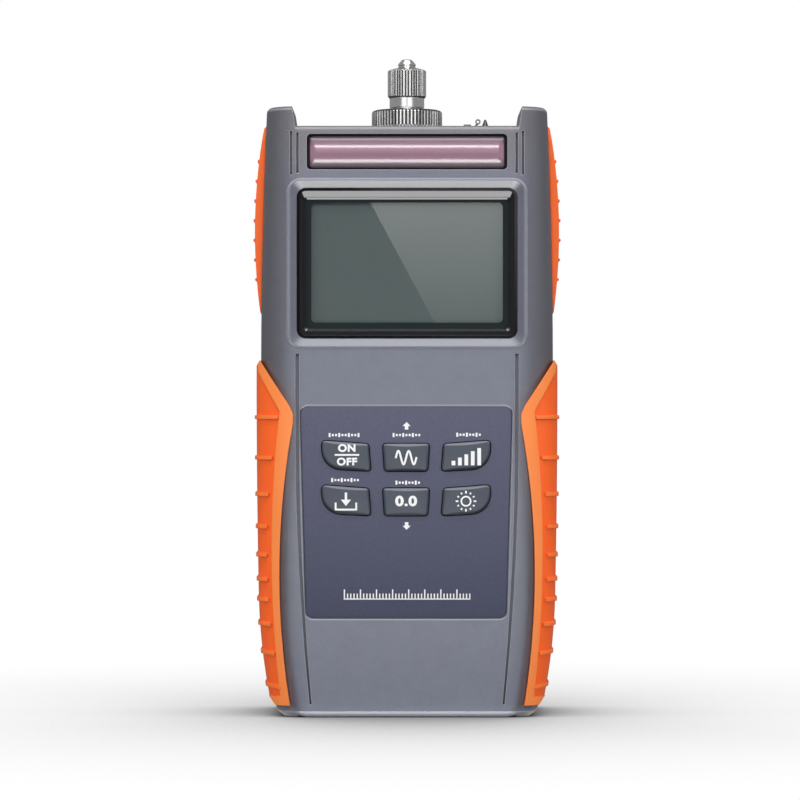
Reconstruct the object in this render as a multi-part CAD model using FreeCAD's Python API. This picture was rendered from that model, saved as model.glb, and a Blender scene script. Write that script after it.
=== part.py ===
import FreeCAD, Part
import math
import os

os.makedirs("parts", exist_ok=True)
V = FreeCAD.Vector

# Handheld optical power meter standing upright on Z = 0. All lengths in mm:
# X to the right, Y towards the back, Z up. The display faces -Y.

# Case, split into two shells at Y = 0
CASE_TOP = 190.3
NOTCH_Z = 184.2
NOTCH_HALF_LOW = 34.9
NOTCH_HALF_HIGH = 36.1
HALF_DEPTH = 22.0
WAIST_HALF = 45.8
WAIST_Z = 105.0
TOP_HALF = 43.9
PALM_HALF = 45.1
PALM_Z = 38.0
FOOT_HALF = 40.4
FRONT_ROUND = 10.0
REAR_ROUND = 8.0
FOOT_CHAMFER = 1.9
HORN_ROUND = 1.8
DECK_ROUND = 1.6
WALL = 2.2
LAP_INSET = 1.1
LAP_DEPTH = 1.2
SEAL_WIDTH = 0.8
SEAL_DEPTH = 0.6
BEYOND = 40.0

# Grooves in the front
GROOVE_DEPTH = 1.0
GROOVE_TOP = 113.2
GROOVE_BEND = 89.0
GROOVE_FOOT = 4.1
SLOT_WIDTH = 0.7

# Rubber on the sides: how far each level stands out from the case
RIM = 1.85
FIELD = 1.4
RIB = 2.0
RIB_COUNT = 10
RIB_HEIGHT = 1.15
RIB_TOP = 93.4
RIB_PITCH = 6.3
RIB_SPREAD = 1.27
PAD_MIDDLE = 155.3
PAD_RIB_COUNT = 7
PAD_RIB_PITCH = 6.2
PAD_RIB_OUT = 0.6

# Window and display
SURROUND_HALF = 37.35
SURROUND_LOW = 114.95
SURROUND_HIGH = 167.75
SURROUND_CREST = -22.45
SURROUND_FOOT = -22.15
SURROUND_BACK = -19.8
WINDOW_HALF = 34.3
WINDOW_LOW = 118.0
WINDOW_HIGH = 164.8
WINDOW_ROUND = 2.8
FRAME_FRONT = -21.4
FRAME_LIP = 0.9
SIGHT_HALF = 31.5
SIGHT_LOW = 121.0
SIGHT_HIGH = 161.2
SIGHT_STEP = 0.75
SIGHT_ROUND = 0.6
LENS_FRONT = -19.85
LENS_BACK = -18.7
GLASS_FRONT = -18.6
GLASS_BACK = -16.6

# Boards
BOARD_FRONT = -13.6
BOARD_BACK = -12.0

# Keypad
PANEL_X = -0.3
PANEL_LOW = 31.0
PANEL_HIGH = 96.7
PANEL_HALF_LOW = 31.0
PANEL_HALF_HIGH = 32.8
PANEL_ROUND = 2.2
PANEL_BED = -21.6
OVERLAY_FRONT = -22.05
COLUMN_PITCH = 18.7
ROW_PITCH = 13.85
KEY_TOP_Z = 86.2
KEY_FACE = -23.2
KEY_DOME = 60.0
KEY_BEVEL_Y = -22.3
KEY_BEVEL = 0.9
KEY_GAP = 0.3
KEY_BACK = -18.9
STEM_RADIUS = 2.0
STEM_END = -17.0
MAT_FRONT = -18.15
MAT_BACK = -17.3

# Bar above the display
STRIP_HALF = 30.3
STRIP_LOW = 171.0
STRIP_HIGH = 180.85
STRIP_ROUND = 0.9
STRIP_FRONT = -22.75
STRIP_BACK = -20.3
STRIP_BOW = 7.8
STRIP_HOLE_HALF = 31.2
STRIP_HOLE_LOW = 170.5
STRIP_HOLE_HIGH = 181.6
GASKET_THICK = 0.5

# Fibre connector, on the vertical line X = 0, Y = 0
WELL_RADIUS = 8.0
SEAT_Z = 187.4
SEAT_RADIUS = 7.5
SPIGOT_RADIUS = 4.5
BARREL_RADIUS = 4.0
BARREL_TOP = 201.0
PORT_RADIUS = 1.27
ORING_IN = 5.5
ORING_OUT = 6.6
ORING_THICK = 0.8
RING_RADIUS = 11.15
RING_LOW = 185.0
RING_TOP = 190.5
RING_TEETH = 61
THREAD_GAP = 0.1
CAN_FOOT = 179.4
CAP_BORE = 4.1
CAP_LOW = 191.2
CAP_TOP = 204.0
CAP_RADIUS = 6.1
CAP_TEETH = 40
LINER_LOW = 201.3
LINER_TOP = 202.1
RIVET_RADIUS = 1.0
RIVET_TOP = 206.6
TAB_TOP = 204.6
TAB_REACH = 5.6

# Lug for the cap's chain, beside the connector
LUG_X = 18.0
EYE_X = 22.5
ANCHOR_X = 24.8
LUG_THICK = 0.6

# Battery bay, its door and the tilt stand
CELL_RADIUS = 7.1
CELL_LENGTH = 49.5
CELL_PITCH = 15.2
CELL_Y = 10.4
BUTTON_RADIUS = 2.7
SPRING_ROOM = 7.0
BAY_LOW = 17.0
BAY_HIGH = 76.0
BAY_HALF = 23.6
BAY_FLOOR = 3.0
CONTACT_THICK = 0.5
SPRING_TURNS = 3
SPRING_WIRE = 0.4
SPRING_WIDE = 5.2
SPRING_NARROW = 3.2
DOOR_AXIS_Y = 20.6
DOOR_AXIS_Z = 78.6
DOOR_HALF = 25.7
DOOR_LOW = 13.3
DOOR_PIN_END = 27.4
STAND_AXIS_Y = 20.3
STAND_AXIS_Z = 165.2
STAND_HALF = 23.7
STAND_LOW = 110.0
PIN_RADIUS = 0.8

# Screws that close the case, and screws that hold the main board
CASE_SCREW = 1.45
CASE_SCREW_HEAD = 2.8
CASE_SCREW_SEAT = 12.0
BOARD_SCREW = 0.95
BOARD_SCREW_HEAD = 2.0
SCREW_SPOTS = ((31.5, 9.0), (-31.5, 9.0), (33.5, 174.0), (-33.5, 174.0))
BOARD_SPOTS = ((35.0, 106.0), (-35.0, 106.0), (33.5, 22.0), (-33.5, 22.0))

PLANES = {
    "front": (V(1, 0, 0), V(0, 0, 1), V(0, 1, 0)),
    "side": (V(0, 1, 0), V(0, 0, 1), V(1, 0, 0)),
    "top": (V(1, 0, 0), V(0, 1, 0), V(0, 0, 1)),
}


def box(x0, x1, y0, y1, z0, z1):
    return Part.makeBox(x1 - x0, y1 - y0, z1 - z0, V(x0, y0, z0))


def rod(radius, start, end):
    return Part.makeCylinder(radius, (end - start).Length, start, end - start)


def upright(radius, z0, z1, x=0.0, y=0.0):
    return rod(radius, V(x, y, z0), V(x, y, z1))


def level(radius, y0, y1, spot):
    """Rod from front to back at a spot of the front view."""
    x, z = spot
    return rod(radius, V(x, y0, z), V(x, y1, z))


def crosswise(radius, half, y, z):
    """Rod from left to right, as long on both sides."""
    return rod(radius, V(-half, y, z), V(half, y, z))


def mirror(shape):
    return shape.mirror(V(0, 0, 0), V(1, 0, 0))


def joined(first, others):
    return first.multiFuse(others).removeSplitter()


def union(shapes):
    return joined(shapes[0], shapes[1:])


def turned(profile, x=0.0, y=0.0):
    """Solid of revolution about a vertical line, from (radius, height) corners."""
    corners = [V(x + r, y, z) for r, z in profile]
    face = Part.Face(Part.makePolygon(corners + corners[:1]))
    return face.revolve(V(x, y, 0), V(0, 0, 1), 360)


def rounded_wire(points, radius):
    """Closed wire through the points, each corner rounded by one radius or by its own."""
    radii = radius if isinstance(radius, list) else [radius] * len(points)
    stops = []
    for i, at in enumerate(points):
        before = (points[i - 1] - at).normalize()
        after = (points[(i + 1) % len(points)] - at).normalize()
        half = before.getAngle(after) / 2
        bisector = (before + after).normalize()
        reach = radii[i] / math.tan(half)
        middle = at + bisector * (radii[i] / math.sin(half) - radii[i])
        stops.append((at + before * reach, middle, at + after * reach))
    edges = []
    for i, (start, middle, end) in enumerate(stops):
        edges.append(Part.Arc(start, middle, end).toShape())
        edges.append(Part.makeLine(end, stops[(i + 1) % len(stops)][0]))
    return Part.Wire(edges)


def prism(plane, points, radius, start, end):
    """Polygon drawn on a plane, corners rounded, pushed from start to end."""
    across, up, away = PLANES[plane]
    corners = [away * start + across * u + up * v for u, v in points]
    if radius:
        wire = rounded_wire(corners, radius)
    else:
        wire = Part.makePolygon(corners + corners[:1])
    return Part.Face(wire).extrude(away * (end - start))


def rectangle(half, low, high):
    return [(-half, low), (half, low), (half, high), (-half, high)]


def tapered(near, far):
    """Solid between two rounded outlines that face the front: (points, y, radius) each."""
    wires = []
    for points, y, radius in (near, far):
        corners = [V(u, y, v) for u, v in points]
        wires.append(rounded_wire(corners, radius))
    return Part.makeLoft(wires, True, True)


def tangent_arc(start, heading, end):
    """Arc from start, leaving along heading, to end; also its heading there."""
    chord = end - start
    normal = heading.cross(chord).cross(heading).normalize()
    radius = chord.Length ** 2 / (2 * chord.dot(normal))
    centre = start + normal * radius
    middle = centre + (start + end - centre * 2).normalize() * radius
    along = V(chord).normalize()
    final = along * (2 * heading.dot(along)) - heading
    return Part.Arc(start, middle, end).toShape(), final


def flank(inset):
    """Right-hand edge of the front view in three arcs that run into each other."""
    waist = V(WAIST_HALF - inset, 0, WAIST_Z)
    top = V(TOP_HALF - inset, 0, CASE_TOP)
    palm = V(PALM_HALF - inset, 0, PALM_Z)
    foot = V(FOOT_HALF - inset, 0, 0)
    upper, _ = tangent_arc(waist, V(0, 0, 1), top)
    lower, heading = tangent_arc(waist, V(0, 0, -1), palm)
    toe, _ = tangent_arc(palm, heading, foot)
    return [toe, lower, upper]


def hull(inset):
    """Case outline with rounded long edges, moved inwards by inset."""
    right = flank(inset)
    foot = FOOT_HALF - inset
    top = TOP_HALF - inset
    ends = [
        Part.makeLine(V(-foot, 0, 0), V(foot, 0, 0)),
        Part.makeLine(V(-top, 0, CASE_TOP), V(top, 0, CASE_TOP)),
    ]
    loop = right + [mirror(edge) for edge in right] + ends
    face = Part.Face(Part.Wire(Part.__sortEdges__(loop)))
    reach = HALF_DEPTH - inset
    solid = face.extrude(V(0, 2 * reach, 0)).translate(V(0, -reach, 0))
    for side, radius in ((-1, FRONT_ROUND), (1, REAR_ROUND)):
        long_edges = [
            edge
            for edge in solid.Edges
            if abs(edge.CenterOfMass.y - side * reach) < 0.01
            and edge.BoundBox.ZLength > 5
        ]
        solid = solid.makeFillet(radius - inset, long_edges)
    return solid


def inner_hull(inset):
    """The hull cut off below the notch, for spaces inside the case."""
    return hull(inset).common(box(-60, 60, -BEYOND, BEYOND, inset, NOTCH_Z - inset))


def level_edges(solid, z):
    return [
        edge
        for edge in solid.Edges
        if edge.BoundBox.ZLength < 0.01 and abs(edge.CenterOfMass.z - z) < 0.01
    ]


def case_block():
    """Outside of the case as one solid, with the connector notch in its top."""
    block = hull(0)
    block = block.makeChamfer(FOOT_CHAMFER, level_edges(block, 0))
    block = block.makeFillet(HORN_ROUND, level_edges(block, CASE_TOP))
    low = NOTCH_HALF_LOW
    high = NOTCH_HALF_HIGH
    open_top = CASE_TOP + 2
    sides = [(-low, NOTCH_Z), (low, NOTCH_Z), (high, open_top), (-high, open_top)]
    block = block.cut(prism("front", sides, 0, -BEYOND, BEYOND))
    lips = [
        edge
        for edge in level_edges(block, NOTCH_Z)
        if edge.BoundBox.XLength > NOTCH_HALF_LOW
    ]
    return block.makeFillet(DECK_ROUND, lips)


def rib_levels():
    """Heights of the grip ribs, closest together near the sixth."""
    height = RIB_TOP
    levels = [height]
    for i in range(RIB_COUNT - 1):
        height -= RIB_PITCH + RIB_SPREAD * abs(i - RIB_COUNT // 2)
        levels.append(height)
    return levels


def edge_arc(x0, z0, x1, z1, x2, z2):
    return Part.Arc(V(x0, 0, z0), V(x1, 0, z1), V(x2, 0, z2)).toShape()


def side_region(arc, corners):
    """Prism through the case on its left, bounded by an arc and some corners."""
    end = arc.Vertexes[-1].Point
    start = arc.Vertexes[0].Point
    path = [end] + [V(x, 0, z) for x, z in corners] + [start]
    lines = [Part.makeLine(a, b) for a, b in zip(path, path[1:])]
    face = Part.Face(Part.Wire(Part.__sortEdges__([arc] + lines)))
    return face.extrude(V(0, 2 * BEYOND, 0)).translate(V(0, -BEYOND, 0))


def rib_bars():
    """Slabs at the rib heights; the lowest ones lean with the foot of the case."""
    bars = []
    for i, height in enumerate(rib_levels()):
        half = RIB_HEIGHT / 2
        bar = box(-60, -30, -BEYOND, BEYOND, height - half, height + half)
        bar.rotate(V(-PALM_HALF, 0, height), V(0, 1, 0), 2.5 * max(0, i - 6))
        bars.append(bar)
    return Part.makeCompound(bars)


def left_grip(block):
    """Rubber grip wrapped round the lower left side, with rim, field and ribs."""
    whole = side_region(
        edge_arc(-35.45, 91.5, -39.7, 46.0, -36.4, 3.7),
        [(-41.2, 3.7), (-43.6, 7.0), (-55, 7.0), (-55, 109.4), (-47.2, 109.4),
         (-46.0, 111.2), (-36.6, 97.0), (-35.45, 94.4)],
    )
    sunk = side_region(
        edge_arc(-39.6, 95.2, -42.1, 46.0, -39.4, 6.4),
        [(-55, 6.4), (-55, 112.0), (-47.0, 112.0), (-46.4, 107.4)],
    )
    ribbed = side_region(
        edge_arc(-39.4, 97.0, -43.7, 55.0, -38.9, 6.9),
        [(-55, 6.9), (-55, 97.0)],
    )
    grip = hull(-RIM).common(whole)
    grip = grip.cut(sunk.cut(hull(-FIELD)))
    ribs = hull(-RIB).common(ribbed).common(rib_bars())
    return grip.fuse(ribs.Solids).cut(block)


def pad_ribs(curve):
    """Small ribs whose foot is sunk in the bulge of the pad."""
    bars = []
    for i in range(PAD_RIB_COUNT):
        z = PAD_MIDDLE + PAD_RIB_PITCH * (i - PAD_RIB_COUNT // 2)
        surface = curve.Center.x - math.sqrt(curve.Radius ** 2 - (z - curve.Center.z) ** 2)
        root = surface + PAD_RIB_OUT
        tip = surface - PAD_RIB_OUT
        profile = [(root, z - 0.95), (root, z + 0.95), (tip, z + 0.25), (tip, z - 0.25)]
        bars.append(prism("front", profile, 0, -8.5, 10.5))
    return bars


def left_pad(block):
    """Lens-shaped rubber pad on the upper left side, with small ribs."""
    bulge = edge_arc(-46.1, 126.3, -47.75, 155.0, -44.9, 184.2)
    profile = side_region(bulge, [(-43.2, 186.4), (-40, 186.4), (-40, 124.4), (-45.0, 124.4)])
    lens = [(-10.5, 127), (1, 120), (12.5, 127), (12.5, 183), (1, 190), (-10.5, 183)]
    pad = profile.common(prism("side", lens, 5.0, -60, -30))
    return pad.fuse(pad_ribs(bulge.Curve)).cut(block)


def key_outline(column, row, margin):
    """Front outline of one key; the outer keys have a large lower outside corner."""
    top = KEY_TOP_Z - row * ROW_PITCH
    if column == 0:
        corners = [(-7.25, top - 1.0), (7.25, top - 1.0), (6.65, top - 9.5), (-6.65, top - 9.5)]
        radii = [1.0] * 4
    else:
        corners = [(26.2, top), (11.7, top - 1.1), (11.0, top - 9.5), (26.0, top - 8.7)]
        corners = [(column * x, z) for x, z in corners]
        radii = [1.2, 1.0, 1.0, 6.2]
    wire = rounded_wire([V(PANEL_X + x, 0, z) for x, z in corners], radii)
    return wire.makeOffset2D(margin) if margin else wire


def key_prism(column, row, margin, start, end):
    face = Part.Face(key_outline(column, row, margin))
    return face.extrude(V(0, end - start, 0)).translate(V(0, start, 0))


def key_hole(column, row):
    return key_prism(column, row, KEY_GAP, -30, -15)


def key_centre(column, row):
    return PANEL_X + column * COLUMN_PITCH, KEY_TOP_Z - row * ROW_PITCH - 5.0


def key_cells():
    return [(column, row) for row in (0, 1) for column in (-1, 0, 1)]


def key_cap(column, row):
    """Domed key with a flange behind the case wall and a stem to its switch."""
    x, z = key_centre(column, row)
    dome = Part.makeSphere(KEY_DOME, V(x, KEY_FACE + KEY_DOME, z))
    bevel = Part.makeLoft(
        [
            key_outline(column, row, 0).translated(V(0, KEY_BEVEL_Y, 0)),
            key_outline(column, row, -KEY_BEVEL).translated(V(0, KEY_FACE, 0)),
        ],
        True,
        True,
    )
    cap = joined(key_prism(column, row, 0, KEY_BEVEL_Y, -19.0), [bevel]).common(dome)
    flange = key_prism(column, row, 0.8, -19.75, KEY_BACK)
    return union([cap, flange, level(STEM_RADIUS, -19.5, STEM_END, (x, z))])


def panel_points(inset=0.0):
    low = PANEL_HALF_LOW - inset
    high = PANEL_HALF_HIGH - inset
    return [
        (PANEL_X - low, PANEL_LOW + inset),
        (PANEL_X + low, PANEL_LOW + inset),
        (PANEL_X + high, PANEL_HIGH - inset),
        (PANEL_X - high, PANEL_HIGH - inset),
    ]


def panel_recess():
    """Bed of the overlay, with a bevelled edge."""
    bed = prism("front", panel_points(), PANEL_ROUND, -30, PANEL_BED)
    mouth = (panel_points(-0.75), -22.1, PANEL_ROUND + 0.75)
    return [bed, tapered(mouth, (panel_points(), -21.65, PANEL_ROUND))]


def long_groove():
    """Groove down the left of the front face, straight, then curving in and narrowing."""
    heading = V(0, 0, -1)
    outline = []
    for top_x, foot_x in ((-34.7, -30.3), (-33.6, -29.7)):
        bend = V(top_x, 0, GROOVE_BEND)
        arc, _ = tangent_arc(bend, heading, V(foot_x, 0, GROOVE_FOOT))
        outline += [Part.makeLine(V(top_x, 0, GROOVE_TOP), bend), arc]
    outline.append(Part.makeLine(V(-34.7, 0, GROOVE_TOP), V(-33.6, 0, GROOVE_TOP)))
    outline.append(Part.makeLine(V(-30.3, 0, GROOVE_FOOT), V(-29.7, 0, GROOVE_FOOT)))
    face = Part.Face(Part.Wire(Part.__sortEdges__(outline)))
    return face.extrude(V(0, 5, 0)).translate(V(0, -HALF_DEPTH + GROOVE_DEPTH - 5, 0))


def short_slots():
    """Two upright slots beside the bar, on the left."""
    foot = -HALF_DEPTH + GROOVE_DEPTH
    half = SLOT_WIDTH / 2
    return [
        box(x - half, x + half, -30, foot, low, high)
        for x, low, high in ((-34.1, 169.4, 182.0), (-36.05, 168.9, 182.5))
    ]


def strip_hole():
    edge = rectangle(STRIP_HOLE_HALF, STRIP_HOLE_LOW, STRIP_HOLE_HIGH)
    return prism("front", edge, 1.3, -30, STRIP_BACK)


def front_cuts():
    """Everything removed from the front of the case."""
    left = short_slots() + [long_groove()]
    cuts = left + [mirror(cut) for cut in left] + panel_recess()
    cuts.append(strip_hole())
    return cuts + [key_hole(column, row) for column, row in key_cells()]


def window_outline(inset=0.0):
    return rectangle(WINDOW_HALF - inset, WINDOW_LOW + inset, WINDOW_HIGH - inset)


def sight_outline(grow=0.0):
    return rectangle(SIGHT_HALF + grow, SIGHT_LOW - grow, SIGHT_HIGH + grow)


def surround_outline(inset):
    return rectangle(SURROUND_HALF - inset, SURROUND_LOW + inset, SURROUND_HIGH - inset)


def surround():
    """Raised lip round the window, and the slope that is cut in it towards the glass."""
    edge = surround_outline(0)
    crest = (surround_outline(0.3), SURROUND_CREST, 4.1)
    lip = [
        prism("front", edge, 4.4, SURROUND_FOOT, SURROUND_BACK),
        tapered(crest, (edge, SURROUND_FOOT, 4.4)),
    ]
    brink = (surround_outline(0.7), SURROUND_CREST - 0.01, 3.7)
    slope = tapered(brink, (window_outline(), FRAME_FRONT + 0.2, WINDOW_ROUND))
    return lip, slope


def window_hole():
    return prism("front", window_outline(), WINDOW_ROUND, -30, -15)


def port_well():
    """Space of the detector housing where it passes the top of the case."""
    return upright(WELL_RADIUS, 175, 190)


def usb_opening():
    return box(-26.7, -17.3, -12.1, -7.9, 175, 190)


def lap_band(width, y0, y1):
    """Part of the joint between the shells, just inside their walls."""
    band = inner_hull(LAP_INSET).cut(inner_hull(LAP_INSET + width))
    return band.common(box(-60, 60, y0, y1, 0, 200)).cut(port_well())


def tongue():
    """Ring of the rear shell that enters the front shell at the joint."""
    return lap_band(WALL - LAP_INSET, -LAP_DEPTH, 0)


def seal():
    return lap_band(SEAL_WIDTH, -LAP_DEPTH - SEAL_DEPTH, -LAP_DEPTH)


def front_shell(block):
    lip, slope = surround()
    backing = box(-33.5, 33.5, -19.9, -18.6, 169.2, 182.2)
    shell = joined(block.cut(inner_hull(WALL)), lip + [backing])
    shell = shell.common(box(-60, 60, -BEYOND, 0, -5, 220))
    bosses = [level(3.6, -20.5, 0, spot) for spot in SCREW_SPOTS]
    posts = [level(2.6, -20.6, BOARD_FRONT, spot) for spot in BOARD_SPOTS]
    shell = joined(shell, bosses + posts)
    shell = shell.cut(front_cuts() + [slope, window_hole()])
    holes = [level(CASE_SCREW, -13, 5, spot) for spot in SCREW_SPOTS]
    holes += [level(BOARD_SCREW, -19, 0, spot) for spot in BOARD_SPOTS]
    return shell.cut(holes + [port_well(), usb_opening(), tongue(), seal()])


def bay_solids():
    """Walls of the battery bay and the ledge that the door closes on."""
    walls = box(-BAY_HALF - 1.5, BAY_HALF + 1.5, 1.5, 20.0, BAY_LOW - 1.5, BAY_HIGH + 1.5)
    ledge = box(-28.2, 28.2, 17.0, 20.5, 10.6, 83.0)
    return [walls, ledge]


def bay_space():
    """Room for three cells, with a low divider between neighbours."""
    space = box(-BAY_HALF, BAY_HALF, BAY_FLOOR, 30, BAY_LOW, BAY_HIGH)
    for x in (-CELL_PITCH / 2, CELL_PITCH / 2):
        space = space.cut(box(x - 0.5, x + 0.5, BAY_FLOOR - 1, 7, 30, 64))
    return space


def door_opening():
    """Recess of the door, of its hinge barrel and pins, and a finger notch."""
    opening = box(-DOOR_HALF - 0.3, DOOR_HALF + 0.3, 19.8, 30, DOOR_LOW - 0.3, 80.2)
    barrel = box(-DOOR_HALF - 0.3, DOOR_HALF + 0.3, 19.0, 30, DOOR_AXIS_Z - 2, 80.2)
    notch = prism("side", [(20.2, 9.0), (30, 6.0), (30, 14), (20.2, 14)], 0, -7, 7)
    pins = crosswise(PIN_RADIUS + 0.05, DOOR_PIN_END + 0.3, DOOR_AXIS_Y, DOOR_AXIS_Z)
    return [opening, barrel, notch, pins]


def stand_recess():
    """Recess of the stand, its finger notch and the bore of its pin."""
    recess = box(-STAND_HALF - 0.6, STAND_HALF + 0.6, 18.4, 30, STAND_LOW - 0.6, 167.4)
    finger = prism("side", [(18.9, 109.5), (30, 98.0), (30, 109.5)], 0, -8, 8)
    return [recess, finger, stand_pin()]


def sound_slots():
    """Five slots in front of the buzzer, the middle one longest."""
    slots = []
    for i in range(5):
        z = 89.0 + 2.2 * i
        half = 5 - abs(i - 2)
        slots.append(box(-half, half, 15, 30, z, z + 0.9))
    return slots


def rear_shell(block):
    shell = block.cut(inner_hull(WALL)).common(box(-60, 60, 0, BEYOND, -5, 220))
    backing = box(-26.8, 26.8, 16.0, 20.5, 95.0, 169.6)
    backing = backing.cut(box(-30, 30, 10, 19.8, 90, 106.5))
    bosses = [level(4.0, 20.5, 0, spot) for spot in SCREW_SPOTS]
    shell = joined(shell, bay_solids() + [backing, tongue()] + bosses)
    cuts = [bay_space(), port_well()] + door_opening() + stand_recess() + sound_slots()
    cuts += [level(1.6, -1, 13, spot) for spot in SCREW_SPOTS]
    cuts += [level(3.1, CASE_SCREW_SEAT, 30, spot) for spot in SCREW_SPOTS]
    return shell.cut(cuts)


def window_bezel():
    """Black frame: a flat lip, then two faces that slope down to the display window."""
    frame = prism("front", window_outline(), WINDOW_ROUND, FRAME_FRONT, -19.2)
    flange = prism("front", rectangle(34.8, 116.2, 166.8), 2.0, SURROUND_BACK, LENS_BACK)
    lip_round = WINDOW_ROUND - FRAME_LIP
    mouth = prism("front", window_outline(FRAME_LIP), lip_round, -25, FRAME_FRONT + 0.15)
    foot = (sight_outline(SIGHT_STEP), -20.55, SIGHT_ROUND + 0.3)
    slope = tapered((window_outline(FRAME_LIP), FRAME_FRONT + 0.15, lip_round), foot)
    step = prism("front", sight_outline(SIGHT_STEP), SIGHT_ROUND + 0.3, -21.0, -20.35)
    brink = (sight_outline(SIGHT_STEP), -20.35, SIGHT_ROUND + 0.3)
    inner_slope = tapered(brink, (sight_outline(), -20.1, SIGHT_ROUND))
    sight = prism("front", sight_outline(), SIGHT_ROUND, -25, -15)
    return joined(frame, [flange]).cut([mouth, slope, step, inner_slope, sight, window_lens()])


def window_lens():
    return prism("front", rectangle(33.4, 119.2, 163.6), 1.5, LENS_FRONT, LENS_BACK)


def lcd_glass():
    """Two panes, the rear one taller so that its contacts lie bare."""
    middle = (GLASS_FRONT + GLASS_BACK) / 2
    rear = box(-32.5, 32.5, middle, GLASS_BACK, 116.8, 166.2)
    return joined(rear, [box(-32.5, 32.5, GLASS_FRONT, middle, 118.6, 164.4)])


def lcd_backlight():
    return box(-31.8, 31.8, GLASS_BACK, BOARD_FRONT, 118.8, 164.2)


def lcd_zebra_strips():
    return [
        box(-28, 28, GLASS_BACK, BOARD_FRONT, 164.6, 166.0),
        box(-28, 28, GLASS_BACK, BOARD_FRONT, 117.0, 118.4),
    ]


def keypad_overlay():
    sheet = prism("front", panel_points(), PANEL_ROUND, OVERLAY_FRONT, PANEL_BED)
    return sheet.cut([key_hole(column, row) for column, row in key_cells()])


def keypad_mat():
    """Rubber skirt behind the keys, open round each stem, standing on the board."""
    sheet = prism("front", rectangle(30.5, 59.0, 89.5), 2.0, MAT_FRONT, MAT_BACK)
    foot = prism("front", rectangle(30.5, 59.0, 89.5), 2.0, MAT_BACK, BOARD_FRONT)
    foot = foot.cut(prism("front", rectangle(29.3, 60.2, 88.3), 1.5, -20, -10))
    holes = [level(STEM_RADIUS + 0.5, -20, -15, key_centre(*cell)) for cell in key_cells()]
    return joined(sheet, [foot]).cut(holes)


def key_switches():
    """One dome switch on the board behind each key."""
    switches = []
    for column, row in key_cells():
        x, z = key_centre(column, row)
        body = box(x - 3, x + 3, BOARD_FRONT - 1.8, BOARD_FRONT, z - 3, z + 3)
        plunger = level(1.5, BOARD_FRONT - 1, BOARD_FRONT - 2.75, (x, z))
        switches.append(body.fuse(plunger))
    return switches


def top_strip():
    """Glossy bar above the display, bowed from top to bottom and rounded at its ends."""
    edge = rectangle(STRIP_HALF, STRIP_LOW, STRIP_HIGH)
    bar = prism("front", edge, STRIP_ROUND, -23, STRIP_BACK)
    bow = crosswise(STRIP_BOW, BEYOND, STRIP_FRONT + STRIP_BOW, (STRIP_LOW + STRIP_HIGH) / 2)
    half = STRIP_HALF + 0.1
    ends = prism("top", [(-half, -19), (-half, -21.3), (-28.0, -23.1), (28.0, -23.1),
                         (half, -21.3), (half, -19)], 0.9, 160, 190)
    return bar.common(bow).common(ends)


def top_strip_gasket():
    edge = rectangle(STRIP_HALF, STRIP_LOW, STRIP_HIGH)
    ring = strip_hole().common(box(-60, 60, STRIP_BACK - GASKET_THICK, STRIP_BACK, 160, 190))
    return ring.cut(prism("front", edge, STRIP_ROUND, -30, -20))


def main_board():
    board = prism("front", rectangle(38.5, 15.0, 168.0), 2.0, BOARD_FRONT, BOARD_BACK)
    head = prism("front", rectangle(27.0, 160.0, 180.5), 2.0, BOARD_FRONT, BOARD_BACK)
    return joined(board, [head]).cut([level(1.1, -20, 0, spot) for spot in BOARD_SPOTS])


def board_screws():
    """Slotted screws that hold the board on its posts."""
    screws = []
    for x, z in BOARD_SPOTS:
        shaft = level(BOARD_SCREW, -18.5, BOARD_BACK + 0.5, (x, z))
        head = level(BOARD_SCREW_HEAD, BOARD_BACK, BOARD_BACK + 1.3, (x, z))
        slot = box(x - 2.1, x + 2.1, BOARD_BACK + 0.8, BOARD_BACK + 2, z - 0.25, z + 0.25)
        screws.append(shaft.fuse(head).cut(slot))
    return screws


def case_screws():
    """Cross-head screws from the back into the front shell."""
    screws = []
    for x, z in SCREW_SPOTS:
        shaft = level(CASE_SCREW, -11.5, CASE_SCREW_SEAT + 0.5, (x, z))
        head = level(CASE_SCREW_HEAD, CASE_SCREW_SEAT, CASE_SCREW_SEAT + 2, (x, z))
        across = box(x - 1.5, x + 1.5, CASE_SCREW_SEAT + 1, 15, z - 0.3, z + 0.3)
        along = box(x - 0.3, x + 0.3, CASE_SCREW_SEAT + 1, 15, z - 1.5, z + 1.5)
        screws.append(shaft.fuse(head).cut([across, along]))
    return screws


def board_chips():
    """Controller, converter, amplifier, memory, crystal and regulator."""
    layout = (
        (-6, 6, 120, 132, 1.6),
        (-4, 4, 150, 158, 1.6),
        (10, 15, 150, 156, 1.4),
        (-20, -14, 128, 133, 1.4),
        (12, 22, 122, 126, 3.2),
        (-30, -22, 40, 48, 2.0),
    )
    return [box(x0, x1, BOARD_BACK, BOARD_BACK + t, z0, z1) for x0, x1, z0, z1, t in layout]


def buzzer():
    spot = (0, 93.4)
    return level(6.0, BOARD_BACK, -5.5, spot).cut(level(1.2, -7, 0, spot))


def detector_housing():
    """Tube under the connector; its top is the seat of the receptacle."""
    return turned([
        (4.6, CAN_FOOT), (10.5, CAN_FOOT), (10.5, 182.0), (WELL_RADIUS, 182.0),
        (WELL_RADIUS, NOTCH_Z + 0.2), (7.9, NOTCH_Z + 0.2), (7.9, SEAT_Z - 0.4),
        (SEAT_RADIUS, SEAT_Z), (4.6, SEAT_Z),
    ])


def photodiode():
    return turned([
        (0, CAN_FOOT), (4.6, CAN_FOOT), (4.6, CAN_FOOT + 1), (4.1, CAN_FOOT + 1),
        (4.1, 183.6), (2.0, 183.6), (2.0, 183.2), (0, 183.2),
    ])


def detector_board():
    return upright(9.0, CAN_FOOT - 1.4, CAN_FOOT)


def detector_flex():
    return box(-4, 4, BOARD_BACK, -8.0, 178.4, 178.7).cut(detector_board())


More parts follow.
